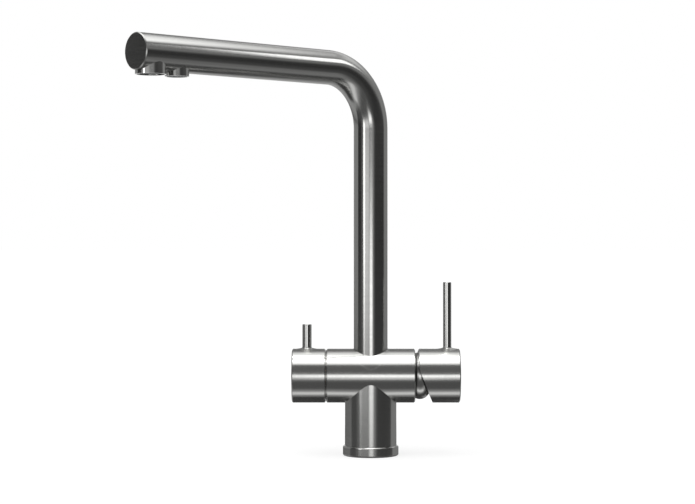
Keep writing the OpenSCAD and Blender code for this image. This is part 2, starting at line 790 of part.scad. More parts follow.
// The stem: a ball below the pivot, a blade through the turret and a square for the handle.
module stem() {
    color(steel_color) on_right(0) difference() {
        union() {
            translate([0, 0, ball_x]) sphere(r = ball_d / 2);
            plug(stem_neck_d / 2, ball_x, pivot_x);
            translate([0, 0, pivot_x]) rotate([90, 0, 0])
                plug(stem_eye_d / 2, -stem_blade_t / 2, stem_blade_t / 2);
            translate([-stem_blade_t / 2, -stem_blade_t / 2, pivot_x])
                cube([stem_blade_t, stem_blade_t, square_foot - pivot_x + relief]);
            translate([-stem_square / 2, -stem_square / 2, square_foot])
                cube([stem_square, stem_square, stem_end - square_foot]);
        }
        pivot_bore(pivot_r + running_fit, stem_blade_t);
    }
}

// The ring nut that clamps the cartridge in the bar.
module cartridge_nut() {
    color(brass_color) on_right(0) difference() {
        plug(nut_r, cart_shoulder, nut_top);
        plug(cart_neck_d / 2 + seat_fit, cart_shoulder - overrun, nut_top + overrun);
        plug(cover_skirt_r + seat_fit, cover_skirt_foot, nut_top + overrun);
    }
}

// The rounded cover ring that shows in the gap between the bar and the mixer handle.
module cover_ring() {
    color(steel_color) on_right(0) difference() {
        union() {
            plug(cover_skirt_r, cover_skirt_foot, cover_x);
            difference() {
                translate([0, 0, cover_x]) rotate_extrude() translate([cover_ring_r, 0])
                    circle(r = cover_round);
                plug(bar_r, cover_skirt_foot - cover_round, bar_end + relief);
            }
        }
        plug(cover_skirt_r - cover_wall, cover_skirt_foot - overrun, cover_roof);
        plug(turret_neck_r + cover_mouth_gap, cover_x, cover_x + cover_round + overrun);
    }
}

// The mixer handle: a hollow drum, cut on a slant below so that it can lean out.
module mixer_handle() {
    color(steel_color) difference() {
        union() {
            on_right(0) turned(bar_r, handle_x, handle_end, end_chamfer, end_chamfer);
            lever_collar(lever_d, lever_x);
        }
        on_right(0) {
            plug(bar_r - handle_wall, handle_x - overrun, handle_floor);
            translate([-stem_square / 2 - seat_fit, -stem_square / 2 - seat_fit, handle_floor - overrun])
                cube([stem_square + 2 * seat_fit, stem_square + 2 * seat_fit,
                    stem_end + relief - handle_floor + overrun]);
            translate([cut_rise, -handle_d, handle_x]) rotate([0, cut_angle, 0])
                translate([-2 * handle_d, 0, -handle_d]) cube([2 * handle_d, 2 * handle_d, handle_d]);
        }
        lever_hole(lever_d, lever_x);
        grub_hole(lever_x, grub_d, stem_square / 2);
    }
}

// A tapped hole from below, up to the shaft that the grub screw clamps.
module grub_hole(x, d, shaft_half) {
    translate([x, 0, bar_z]) plug(d / 2 + seat_fit, -handle_d, -shaft_half + relief);
}

// The mixer lever.
module mixer_lever() {
    color(steel_color) lever(lever_d, lever_x, lever_len);
}

// The screw that clamps the mixer handle on the stem.
module mixer_grub_screw() {
    color(screw_color) translate([lever_x, 0, bar_z])
        grub_screw(grub_d, -stem_square / 2 - grub_len, -stem_square / 2);
}

// The brass body of the filter valve: cage with windows, thread, hexagon and neck.
module filter_valve_body() {
    window_w = cage_r;
    color(brass_color) on_left(0) difference() {
        union() {
            plug(cage_r, cage_foot, valve_recess_x);
            plug(valve_thread_d / 2, valve_thread_x + relief, valve_hex_x);
            translate([0, 0, valve_hex_x]) cylinder(r = valve_hex / sqrt(3), h = valve_hex_len, $fn = 6);
            plug(valve_neck_d / 2, valve_neck_x - overrun, valve_neck_end);
        }
        plug(cage_in_r, cage_foot - overrun, drive_foot_top + relief);
        plug(spindle_r + running_fit, cage_foot, valve_neck_end + overrun);
        translate([-cage_r - overrun, -window_w / 2, valve_moving_top + relief])
            cube([2 * (cage_r + overrun), window_w, drive_foot_t - relief]);
    }
}

// The fibre washer under the hexagon.
module valve_washer() {
    color(rubber_color) on_left(0) ring(valve_hex / 2, valve_thread_d / 2 + seat_fit,
        valve_recess_x, valve_hex_x);
}

// The rubber seal between the valve's fixed disc and the floor of its socket.
module valve_seat_seal() {
    color(rubber_color) on_left(0) ring(cage_in_r, cage_in_r / 2, valve_seat, cage_foot);
}

// A quarter-turn valve disc: two opposite sectors are open.
module valve_disc(low, high) {
    difference() {
        plug(valve_disc_r, low, high);
        for (side = [0, 180])
            rotate(side) translate([0, 0, low - overrun]) rotate_extrude(angle = 80)
                translate([spline_depth, 0]) square([cage_in_r * 2 / 3, high - low + 2 * overrun]);
    }
}

// The ceramic disc that stands still in the filter valve.
module valve_fixed_disc() {
    color(ceramic_color) on_left(0) valve_disc(cage_foot, valve_fixed_top);
}

// The ceramic disc that turns with the spindle, at rest a quarter turn off the fixed one.
module valve_moving_disc() {
    color(ceramic_color) on_left(0) rotate(90) valve_disc(valve_moving_foot, valve_moving_top);
}

// The valve spindle: drive foot, sealed shaft, clip groove and splined end.
module valve_spindle() {
    color(brass_color) on_left(0) difference() {
        union() {
            plug(valve_disc_r, valve_moving_top, drive_foot_top);
            plug(spindle_r, valve_moving_top, spline_foot);
            translate([0, 0, spline_foot - relief]) linear_extrude(spline_len + relief) spline_outline(0);
        }
        ring(spindle_d, spindle_groove_r, spindle_groove_x - seal_groove_w / 2,
            spindle_groove_x + seal_groove_w / 2);
        ring(spindle_d, spindle_groove_r, clip_x, clip_x + clip_t);
    }
}

// The rubber ring on the valve spindle.
module spindle_seal() {
    color(rubber_color) on_left(0) o_ring(spindle_groove_r, spindle_r + running_fit, spindle_groove_x);
}

// The open clip that keeps the spindle in its neck.
module spindle_clip() {
    color(brass_color) on_left(0) difference() {
        ring(spindle_r + clip_t, spindle_groove_r + running_fit, clip_x, clip_x + clip_t - film);
        translate([0, -spindle_groove_r, clip_x - overrun])
            cube([spindle_d, 2 * spindle_groove_r, clip_t + 2 * overrun]);
    }
}

// The filter handle: a drum with a hollow for the valve's neck and a splined socket.
module filter_handle() {
    color(steel_color) difference() {
        union() {
            on_left(0) turned(bar_r, knob_x, knob_end, end_chamfer, end_chamfer);
            lever_collar(pin_d, -pin_x);
        }
        on_left(0) {
            plug(knob_hollow_d / 2, knob_x - overrun, knob_floor);
            translate([0, 0, knob_floor - overrun]) linear_extrude(spline_top + relief - knob_floor + overrun)
                spline_outline(seat_fit);
        }
        lever_hole(pin_d, -pin_x);
        grub_hole(-pin_x, grub_d, spline_r);
    }
}

// The filter lever.
module filter_lever() {
    color(steel_color) lever(pin_d, -pin_x, pin_len);
}

// The screw that clamps the filter handle on the spindle.
module filter_grub_screw() {
    color(screw_color) translate([-pin_x, 0, bar_z])
        grub_screw(grub_d, -spline_r - film - grub_len, -spline_r - film);
}

// The spout tube, with a hole for each outlet collar.
module spout_tube() {
    color(steel_color) on_spout() difference() {
        bent_rod(spout_r, tube_foot, tube_end);
        bent_rod(tube_in_r, tube_foot - overrun, tube_end + overrun);
        translate([main_s, 0, 0]) plug(main_collar_r, tube_low - overrun, arm_z);
        translate([filter_s, 0, 0]) plug(filter_collar_r, tube_low - overrun, arm_z);
    }
}

// The turned adapter brazed into the tube's foot, with its journals and grooves.
module spout_adapter() {
    color(brass_color) difference() {
        union() {
            plug(journal_r, adapter_foot, tube_foot + overrun);
            plug(land_r, land_low, land_high);
            plug(tube_in_r - seat_fit, tube_foot, tube_foot + adapter_plug_h);
        }
        plug(adapter_bore_d / 2, adapter_foot - overrun, tube_foot + adapter_plug_h + overrun);
        for (side = [-1, 1])
            ring(swivel_bore_d, groove_r, lock_z + side * groove_gap - seal_groove_w / 2,
                lock_z + side * groove_gap + seal_groove_w / 2);
        ring(swivel_bore_d, groove_r, lock_z - lock_groove_w / 2, lock_z + lock_groove_w / 2);
    }
}

// The two rubber rings of the swivel.
module spout_seals() {
    color(rubber_color) for (side = [-1, 1])
        o_ring(groove_r, swivel_r, lock_z + side * groove_gap);
}

// The inner tube that carries filtered water through the whole spout.
module inner_tube() {
    color(plastic_color) on_spout() difference() {
        bent_rod(inner_tube_r, nipple_collar_top, inner_tube_end);
        bent_rod(inner_tube_bore / 2, nipple_collar_top - overrun, inner_tube_end + overrun);
    }
}

// The nipple that turns in the body's lower bore and holds the inner tube.
module filter_nipple() {
    color(brass_color) difference() {
        union() {
            plug(nipple_r, nipple_foot, nipple_collar_top);
            plug(inner_tube_bore / 2 - running_fit, nipple_collar_top - overrun,
                nipple_collar_top + nipple_barb_len);
        }
        plug(nipple_bore / 2, nipple_foot - overrun, nipple_collar_top + nipple_barb_len + overrun);
        ring(nipple_d, nipple_groove_r, nipple_foot + seal_groove_w, nipple_foot + 2 * seal_groove_w);
    }
}

// The rubber ring on the nipple.
module nipple_seal() {
    color(rubber_color) o_ring(nipple_groove_r, nipple_bore_r, nipple_foot + 1.5 * seal_groove_w);
}

// The plate that closes the spout's end, with a short plug inside the tube.
module end_plate() {
    color(steel_color) on_spout() translate([0, 0, arm_z]) rotate([0, 90, 0]) {
        turned(spout_r, tube_end, reach, 0, end_plate_chamfer);
        plug(tube_in_r - seat_fit, tube_end - end_plug_len, tube_end + end_plate_t / 2);
    }
}

// The collar of the mixed water outlet, with a ledge for the aerator's washer.
module main_collar() {
    color(steel_color) on_spout() translate([main_s, 0, 0]) difference() {
        plug(main_collar_r, main_rim_z, main_collar_top);
        plug(main_collar_r - collar_wall, main_rim_z - overrun, washer_top);
        plug(main_collar_r - 2 * collar_wall, main_rim_z, main_collar_top + overrun);
    }
}

// The aerator's threaded case, with a lip that holds the honeycomb.
module aerator_case() {
    color(steel_color) on_spout() translate([main_s, 0, 0]) difference() {
        plug(aerator_r, aerator_foot, aerator_top);
        plug(aerator_r - aerator_wall, aerator_foot + comb_lip, aerator_top + overrun);
        plug(aerator_r - aerator_wall - comb_lip, aerator_foot - overrun, aerator_top);
    }
}

// The aerator's honeycomb face.
module aerator_comb() {
    color(plastic_color) on_spout() translate([main_s, 0, 0]) difference() {
        plug(comb_r, aerator_foot + comb_lip, aerator_foot + comb_lip + comb_t);
        comb_cells(comb_r - comb_lip, aerator_foot, aerator_foot + comb_lip + comb_t + overrun);
    }
}

// The rubber washer between the aerator and its ledge.
module aerator_washer() {
    color(rubber_color) on_spout() translate([main_s, 0, 0])
        ring(aerator_r, aerator_r - aerator_wall, aerator_top, washer_top);
}

// The collar of the filtered water outlet.
module filter_collar() {
    color(steel_color) on_spout() translate([filter_s, 0, 0])
        ring(filter_collar_r, filter_collar_r - collar_wall, filter_rim_z, filter_collar_top);
}

// The elbow block that leads the inner tube down into its outlet.
module filter_elbow() {
    color(brass_color) on_spout() translate([filter_s, 0, 0]) difference() {
        union() {
            plug(filter_insert_r, elbow_foot, filter_collar_top);
            plug(elbow_d / 2, elbow_foot, arm_z + elbow_rise);
            translate([0, 0, arm_z]) rotate([0, -90, 0]) plug(inner_tube_r + collar_wall, 0, elbow_reach);
        }
        plug(inner_tube_bore / 2, elbow_foot - overrun, arm_z);
        translate([0, 0, arm_z]) rotate([0, -90, 0]) {
            plug(inner_tube_bore / 2, 0, elbow_reach);
            plug(inner_tube_r + running_fit, elbow_reach - socket_hold, elbow_reach + overrun);
        }
    }
}

// The flow former in the filtered water outlet.
module filter_comb() {
    color(plastic_color) on_spout() translate([filter_s, 0, 0]) difference() {
        plug(filter_insert_r, filter_rim_z + insert_recess, elbow_foot);
        comb_cells(filter_insert_r - comb_lip, filter_rim_z, elbow_foot - comb_lip);
        plug(inner_tube_bore / 2, elbow_foot - 2 * comb_lip, elbow_foot + overrun);
    }
}

body();
base_ring();
base_gasket();
upper_bush();
lower_bush();
spout_lock_screw();
cartridge_base();
cartridge_seals();
cartridge_housing();
fixed_disc();
cartridge_nut();
cover_ring();
filter_valve_body();
valve_washer();
valve_seat_seal();
valve_fixed_disc();
spout_tube();
spout_adapter();
spout_seals();
inner_tube();
filter_nipple();
nipple_seal();
end_plate();
main_collar();
aerator_case();
aerator_comb();
aerator_washer();
filter_collar();
filter_elbow();
filter_comb();
turret();
pivot_pin();
disc_carrier();
moving_disc();
stem();
mixer_handle();
mixer_lever();
mixer_grub_screw();
valve_spindle();
spindle_seal();
spindle_clip();
valve_moving_disc();
filter_handle();
filter_lever();
filter_grub_screw();
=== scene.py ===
from math import cos, pi, radians, sin

import bpy
import numpy as np
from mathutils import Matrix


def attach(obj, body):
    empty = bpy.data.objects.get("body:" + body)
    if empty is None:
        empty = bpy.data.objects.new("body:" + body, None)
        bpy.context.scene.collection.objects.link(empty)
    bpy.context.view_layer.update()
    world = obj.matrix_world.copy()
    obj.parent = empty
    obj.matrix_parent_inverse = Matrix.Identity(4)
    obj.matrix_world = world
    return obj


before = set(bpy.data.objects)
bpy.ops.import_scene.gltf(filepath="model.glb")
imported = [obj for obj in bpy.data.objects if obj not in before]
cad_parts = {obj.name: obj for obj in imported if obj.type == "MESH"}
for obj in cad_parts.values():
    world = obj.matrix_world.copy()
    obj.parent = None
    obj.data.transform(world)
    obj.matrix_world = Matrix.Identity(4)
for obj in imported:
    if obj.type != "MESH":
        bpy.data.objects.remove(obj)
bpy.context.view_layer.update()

# Camera
# A long lens 1.6 m in front of the column and 19 cm above the worktop, tilted a degree upwards. The
# sensor is shifted a little, so that the foot sits low in the picture.
camera = bpy.data.objects.new("camera", bpy.data.cameras.new("camera"))
bpy.context.scene.collection.objects.link(camera)
camera.location = (-0.01315, -1.6049, 0.1876)
camera.rotation_euler = (radians(91.05), 0, 0)
camera.data.sensor_fit = "HORIZONTAL"
camera.data.sensor_width = 36
camera.data.lens = 94.08
camera.data.shift_x = -0.0119
camera.data.shift_y = -0.0620
camera.data.clip_start = 0.05
bpy.context.scene.camera = camera
bpy.context.scene.view_settings.view_transform = "Standard"


# Studio
# A pale worktop under plain soft light. What the steel mirrors is hung round it: a round softbox
# overhead, light cards in front and at the right, dark flags at both sides and behind the foot, and
# the white backdrop.
def add(tree, kind, values=None, links=None, **settings):
    """Adds one node: settings are its own properties, values set its sockets, links feed them."""
    node = tree.nodes.new(kind)
    for name, value in settings.items():
        setattr(node, name, value)
    for socket, value in (values or {}).items():
        node.inputs[socket].default_value = value
    for socket, source in (links or {}).items():
        tree.links.new(source, node.inputs[socket])
    return node


def linear(code):
    """sRGB hex to linear: a channel under 0.04045 over 12.92, else ((it + 0.055) / 1.055) to the 2.4."""
    v = np.array([int(code[i:i + 2], 16) for i in (1, 3, 5)]) / 255
    return (*np.where(v < 0.04045, v / 12.92, ((v + 0.055) / 1.055) ** 2.4), 1.0)


def new_material(name):
    """An empty node tree under that name."""
    material = bpy.data.materials.new(name)
    material.use_nodes = True
    material.node_tree.nodes.clear()
    return material


def surface(name, points, round_rows=False, round_columns=False):
    """Joins a rows by columns by 3 array of points into quads; a round side joins its last to its first."""
    rows, columns = points.shape[:2]
    r, c = np.meshgrid(np.arange(rows - (not round_rows)), np.arange(columns - (not round_columns)),
                       indexing="ij")
    below, beside = (r + 1) % rows, (c + 1) % columns
    quads = np.stack([r * columns + c, r * columns + beside, below * columns + beside,
                      below * columns + c], axis=-1).reshape(-1, 4)
    mesh = bpy.data.meshes.new(name)
    mesh.from_pydata(points.reshape(-1, 3), [], quads.tolist())
    mesh.polygons.foreach_set("use_smooth", np.ones(len(quads), bool))
    piece = bpy.data.objects.new(name, mesh)
    bpy.context.scene.collection.objects.link(piece)
    return piece


def edge_mask(tree, where, axis, centre, half, soft):
    """1 where the point's distance along axis from centre is under half, falling smoothly to 0 over soft."""
    along = add(tree, "ShaderNodeVectorMath", {1: axis}, {0: where}, operation="DOT_PRODUCT").outputs["Value"]
    apart = add(tree, "ShaderNodeMath", {1: centre}, {0: along}, operation="SUBTRACT").outputs[0]
    apart = add(tree, "ShaderNodeMath", links={0: apart}, operation="ABSOLUTE").outputs[0]
    return add(tree, "ShaderNodeMapRange", {"From Min": half - soft, "From Max": half, "To Min": 1.0,
               "To Max": 0.0}, {"Value": apart}, interpolation_type="SMOOTHSTEP").outputs[0]


def for_steel_only(piece):
    """Stage gear that only mirrored light meets: camera, matt surfaces and shadows pass it by."""
    piece.visible_camera = piece.visible_diffuse = piece.visible_shadow = False


# Each card stands upright and faces the column: azimuth (0 towards the camera, 90 to its right) in
# degrees, distance, half width, lower and upper edge and soft edge in metres, then its brightness up
# to one height and from another.
CARDS = (
    ("front_light", 2.0, 1.2, 0.27, -0.18, 0.29, 0.14, 0.85, -0.10, 2.15, 0.04),
    ("front_low_light", 2.0, 1.19, 0.19, -0.27, 0.03, 0.11, 0.95, -0.20, 1.10, 0.00),
    ("front_left_light", -30, 1.25, 0.52, -0.30, 0.48, 0.18, 0.14, -0.10, 1.00, 0.10),
    ("left_strip", -45, 1.24, 0.13, -0.03, 0.70, 0.06, 1.30, 0.06, 3.20, 0.22),
    ("left_flag", -79, 1.0, 0.30, -0.40, 1.00, 0.05, 0.09, 0.02, 0.04, 0.20),
    ("right_flag", 62, 1.1, 1.05, -0.50, 0.72, 0.35, 0.065, -0.05, 0.042, 0.12),
    ("right_light", 91, 0.8, 0.17, 0.64, 1.03, 0.08, 2.50, 0.64, 2.50, 1.03),
    ("back_flag", 180, 0.25, 0.12, -0.55, 0.01, 0.02, 0.06, -0.20, 0.09, 0.00),
)
for name, azimuth, away, half, low, high, soft, dim, dim_z, bright, bright_z in CARDS:
    a = radians(azimuth)
    aside = np.array([cos(a), sin(a), 0])
    foot = np.array([sin(a) * away, -cos(a) * away, 0])
    across, up = np.meshgrid(np.array([-half, half]), np.array([low, high]), indexing="ij")
    points = foot + across[..., None] * aside + up[..., None] * np.array([0, 0, 1])
    card = surface(name, points)
    cloth = new_material(name + "_cloth")
    tree = cloth.node_tree
    place = add(tree, "ShaderNodeTexCoord").outputs["Object"]
    wide = edge_mask(tree, place, tuple(aside), 0.0, half, soft)
    tall = edge_mask(tree, place, (0, 0, 1), (low + high) / 2, (high - low) / 2, soft)
    mask = add(tree, "ShaderNodeMath", links={0: wide, 1: tall}, operation="MULTIPLY").outputs[0]
    height = add(tree, "ShaderNodeSeparateXYZ", links={0: place}).outputs["Z"]
    level = add(tree, "ShaderNodeMapRange", {"From Min": dim_z, "From Max": bright_z, "To Min": dim,
                "To Max": bright}, {"Value": height}).outputs[0]
    glow = add(tree, "ShaderNodeEmission", links={"Strength": level}).outputs[0]
    clear = add(tree, "ShaderNodeBsdfTransparent").outputs[0]
    both = add(tree, "ShaderNodeMixShader", links={0: mask, 1: clear, 2: glow}).outputs[0]
    add(tree, "ShaderNodeOutputMaterial", links={"Surface": both})
    card.data.materials.append(cloth)
    for_steel_only(card)

# The softbox's cloth is bright inside, fades at its rim and towards the back, and shows its lamp as a
# brighter round in front of the middle.
softbox_x, softbox_y, softbox_z, softbox_r, lamp_y = -0.08, -0.10, 1.4, 1.25, -0.28
ring, turn = np.meshgrid(np.linspace(0.01, softbox_r, 8), np.linspace(0, 2 * pi, 64, endpoint=False),
                         indexing="ij")
softbox = surface("softbox", np.stack([softbox_x + ring * np.sin(turn), softbox_y + ring * np.cos(turn),
                                       np.full_like(ring, softbox_z)], axis=-1), round_columns=True)
silk = new_material("softbox_silk")
tree = silk.node_tree
place = add(tree, "ShaderNodeTexCoord").outputs["Object"]
reach = add(tree, "ShaderNodeVectorMath", {1: (softbox_x, softbox_y, softbox_z)}, {0: place},
            operation="DISTANCE").outputs["Value"]
deep = add(tree, "ShaderNodeSeparateXYZ", links={0: place}).outputs["Y"]
inner = add(tree, "ShaderNodeMapRange", {"From Min": 0.0, "From Max": 1.0, "To Min": 1.80, "To Max": 0.55},
            {"Value": deep}).outputs[0]
outer = add(tree, "ShaderNodeMapRange", {"From Min": -1.0, "From Max": 1.0, "To Min": 0.14, "To Max": 0.38},
            {"Value": deep}).outputs[0]
edge = add(tree, "ShaderNodeMapRange", {"From Min": 0.73, "From Max": 1.15}, {"Value": reach},
           interpolation_type="SMOOTHSTEP").outputs[0]
cloth = add(tree, "ShaderNodeMix", links={"Factor": edge, "A": inner, "B": outer}).outputs[0]
from_lamp = add(tree, "ShaderNodeVectorMath", {1: (softbox_x, lamp_y, softbox_z)}, {0: place},
                operation="DISTANCE").outputs["Value"]
lamp = add(tree, "ShaderNodeMapRange", {"From Min": 0.25, "From Max": 0.50, "To Min": 2.80, "To Max": 0.0},
           {"Value": from_lamp}, interpolation_type="SMOOTHSTEP").outputs[0]
bright = add(tree, "ShaderNodeMath", links={0: cloth, 1: lamp}).outputs[0]
glow = add(tree, "ShaderNodeEmission", links={"Strength": bright}).outputs[0]
add(tree, "ShaderNodeOutputMaterial", links={"Surface": glow})
softbox.data.materials.append(silk)
for_steel_only(softbox)

# Each wall of the room round the tap: azimuth, elevation, half width, half height and soft edge in
# degrees, and how bright the steel sees it. A later wall stands in front of an earlier one. Matt
# surfaces see a plain level all round, and the camera and clear pieces see white.
room_level, matt_level = 0.28, 0.62
WALLS = (
    ("left_low", -115, -42, 65, 26, 10, 0.40),
    ("right_low", 90, -40, 75, 22, 8, 0.24),
    ("front_low", 0, -42, 70, 24, 10, 0.11),
    ("under_front", 0, -68, 40, 10, 6, 0.30),
    ("back_low", 180, -68, 40, 14, 5, 0.06),
    ("back_below", 180, -20, 20, 12, 8, 0.50),
    ("under", 0, -78, 30, 8, 5, 0.92),
    ("left_wall", -135, 0, 45, 18, 8, 0.31),
    ("left_foot", -115, -7, 60, 3.5, 2, 0.15),
    ("right_high", 88, 27, 16, 12, 5, 0.19),
    ("front_high", 0, 30, 60, 16, 8, 0.15),
    ("back_right_high", 150, 42, 27, 14, 7, 0.80),
    ("back_high", 181, 36, 7, 18, 3, 0.22),
    ("backdrop", 180, 2, 14, 12, 3, 1.00),
)
world = bpy.data.worlds.new("studio")
bpy.context.scene.world = world
world.use_nodes = True
world.cycles.sampling_method = "NONE"
sky = world.node_tree
sky.nodes.clear()
ray = add(sky, "ShaderNodeLightPath").outputs
way = add(sky, "ShaderNodeTexCoord").outputs["Generated"]
room = add(sky, "ShaderNodeValue").outputs[0]
room.default_value = room_level
for name, azimuth, elevation, wide, high, soft, bright in WALLS:
    a, e = radians(azimuth), radians(elevation)
    ahead = (sin(a) * cos(e), -cos(a) * cos(e), sin(e))
    aside = (cos(a), sin(a), 0)
    above = (-sin(a) * sin(e), cos(a) * sin(e), cos(e))
    along = [add(sky, "ShaderNodeVectorMath", {1: axis}, {0: way}, operation="DOT_PRODUCT").outputs["Value"]
             for axis in (ahead, aside, above)]
    turn = add(sky, "ShaderNodeMath", links={0: along[1], 1: along[0]}, operation="ARCTAN2").outputs[0]
    lift = add(sky, "ShaderNodeMath", links={0: along[2]}, operation="ARCSINE").outputs[0]
    inside = []
    for angle, half in ((turn, wide), (lift, high)):
        size = add(sky, "ShaderNodeMath", links={0: angle}, operation="ABSOLUTE").outputs[0]
        inside.append(add(sky, "ShaderNodeMapRange", {"From Min": radians(half - soft),
                          "From Max": radians(half + soft), "To Min": 1.0, "To Max": 0.0},
                          {"Value": size}, interpolation_type="SMOOTHSTEP").outputs[0])
    mask = add(sky, "ShaderNodeMath", links={0: inside[0], 1: inside[1]}, operation="MULTIPLY").outputs[0]
    room = add(sky, "ShaderNodeMix", {"B": bright}, {"Factor": mask, "A": room}).outputs[0]
seen = add(sky, "ShaderNodeMath", links={0: ray["Is Camera Ray"], 1: ray["Is Transmission Ray"]},
           operation="MAXIMUM").outputs[0]
plain = add(sky, "ShaderNodeMix", {"A": matt_level}, {"Factor": ray["Is Glossy Ray"], "B": room}).outputs[0]
level = add(sky, "ShaderNodeMix", {"B": 1.0}, {"Factor": seen, "A": plain}).outputs[0]
light = add(sky, "ShaderNodeBackground", {"Color": (1, 1, 1, 1)}, {"Strength": level})
add(sky, "ShaderNodeOutputWorld", links={"Surface": light.outputs[0]})

sun = bpy.data.objects.new("soft_key", bpy.data.lights.new("soft_key", "SUN"))
bpy.context.scene.collection.objects.link(sun)
sun.data.energy = 0.40 * pi
sun.data.angle = radians(60)
sun.rotation_euler = (radians(22), radians(-14), 0)
sun.visible_glossy = False

# The worktop glows just enough to look white in the picture, and keeps the tap's soft shadow.
worktop_far, worktop_z, worktop_glow = 40, -0.0001, 0.76
side = np.array([-worktop_far, worktop_far])
across, deep = np.meshgrid(side, side, indexing="ij")
worktop = surface("worktop", np.stack([across, deep, np.full(across.shape, worktop_z)], axis=-1))
pale = new_material("pale_worktop")
tree = pale.node_tree
ray = add(tree, "ShaderNodeLightPath").outputs
shown = add(tree, "ShaderNodeMath", links={0: ray["Is Camera Ray"], 1: ray["Is Glossy Ray"]},
            operation="MAXIMUM").outputs[0]
shown = add(tree, "ShaderNodeMath", links={0: shown, 1: ray["Is Transmission Ray"]},
            operation="MAXIMUM").outputs[0]
white = add(tree, "ShaderNodeMath", {1: worktop_glow}, {0: shown}, operation="MULTIPLY").outputs[0]
glow = add(tree, "ShaderNodeEmission", links={"Strength": white}).outputs[0]
matt = add(tree, "ShaderNodeBsdfDiffuse", {"Color": (0.3, 0.3, 0.3, 1)}).outputs[0]
both = add(tree, "ShaderNodeAddShader", links={0: glow, 1: matt}).outputs[0]
add(tree, "ShaderNodeOutputMaterial", links={"Surface": both})
worktop.data.materials.append(pale)
worktop.visible_glossy = False


# Foot, lower body and crosswise bar
# One stainless steel casting: the lower half is turned and brushed round the upright axis, the bar
# round its own. It stands on a turned ring, which hides the hole in the worktop.
low_r, bar_r, bar_z = 0.02275, 0.02375, 0.070


def metal(name, code, roughness, line_mm, line_from, swing=0.03, depth_mm=0.05, gap_mm=2.0):
    """Metal with fine lines left by a brush or a turning tool.

    line_from gives, in the tree, the distance in metres across the lines and the way they run. A noise
    stretched along them, with line_mm from line to line, swings the roughness and tilts the surface by
    depth_mm. The lines are grooves, so a highlight spreads across them: a quarter turn from their run.
    Real lines are about 0.1 mm apart, too fine to show, so they are drawn coarser and fainter.
    In narrow gaps the colour is darkened towards a dark grey as painted shade, by how open a point is within
    gap_mm.
    """
    # 3a3836 is the dark grey of the painted shade in narrow gaps.
    streaks_per_m, painted_gap_shade = 45, "#3a3836"
    material = new_material(name)
    tree = material.node_tree
    place = add(tree, "ShaderNodeTexCoord").outputs["Object"]
    across, run = line_from(tree, place)
    count = add(tree, "ShaderNodeMath", {1: 1000 / line_mm}, {0: across}, operation="MULTIPLY").outputs[0]
    shift = add(tree, "ShaderNodeCombineXYZ", links={"X": count}).outputs[0]
    lines = add(tree, "ShaderNodeVectorMath", {1: (streaks_per_m,) * 3}, {0: place, 2: shift},
                operation="MULTIPLY_ADD").outputs[0]
    grain = add(tree, "ShaderNodeTexNoise", {"Scale": 1.0, "Detail": 3.0, "Roughness": 0.6},
                {"Vector": lines}).outputs["Fac"]
    gloss = add(tree, "ShaderNodeMapRange", {"From Min": 0.3, "From Max": 0.7, "To Min": roughness - swing,
                "To Max": roughness + swing}, {"Value": grain}).outputs[0]
    tilt = add(tree, "ShaderNodeBump", {"Strength": 0.15, "Distance": depth_mm / 1000},
               {"Height": grain}).outputs[0]
    # Painted shade: the less of the room is open round a point within gap_mm, the darker its colour.
    open_sky = add(tree, "ShaderNodeAmbientOcclusion", {"Distance": gap_mm / 1000}).outputs["AO"]
    unshaded_share = add(tree, "ShaderNodeMapRange", {"From Min": 0.25, "From Max": 0.75},
                {"Value": open_sky}).outputs[0]
    tone = add(tree, "ShaderNodeMix", {"A": linear(painted_gap_shade), "B": linear(code)}, {"Factor": unshaded_share},
               data_type="RGBA").outputs["Result"]
    finish = add(tree, "ShaderNodeBsdfPrincipled", {"Metallic": 1.0, "Anisotropic": 0.6,
                 "Anisotropic Rotation": 0.25}, {"Base Color": tone, "Roughness": gloss, "Normal": tilt,
                 "Tangent": run}).outputs[0]
    add(tree, "ShaderNodeOutputMaterial", links={"Surface": finish})
    return material


def round_upright(tree, place):
    """Lines round an upright axis, and rings on its flat ends: the height plus the distance from it."""
    flat = add(tree, "ShaderNodeVectorMath", {1: (1, 1, 0)}, {0: place}, operation="MULTIPLY").outputs[0]
    out = add(tree, "ShaderNodeVectorMath", links={0: flat}, operation="LENGTH").outputs["Value"]
    up = add(tree, "ShaderNodeSeparateXYZ", links={0: place}).outputs["Z"]
    run = add(tree, "ShaderNodeVectorMath", {0: (0, 0, 1)}, {1: place},
              operation="CROSS_PRODUCT").outputs[0]
    return add(tree, "ShaderNodeMath", links={0: up, 1: out}).outputs[0], run


def round_bar(tree, place):
    """Lines round the bar's axis, and rings on its ends: the width plus the distance from that axis."""
    centred = add(tree, "ShaderNodeVectorMath", {1: (0, 0, bar_z)}, {0: place},
                  operation="SUBTRACT").outputs[0]
    flat = add(tree, "ShaderNodeVectorMath", {1: (0, 1, 1)}, {0: centred}, operation="MULTIPLY").outputs[0]
    out = add(tree, "ShaderNodeVectorMath", links={0: flat}, operation="LENGTH").outputs["Value"]
    side = add(tree, "ShaderNodeSeparateXYZ", links={0: place}).outputs["X"]
    run = add(tree, "ShaderNodeVectorMath", {0: (1, 0, 0)}, {1: centred},
              operation="CROSS_PRODUCT").outputs[0]
    return add(tree, "ShaderNodeMath", links={0: side, 1: out}).outputs[0], run


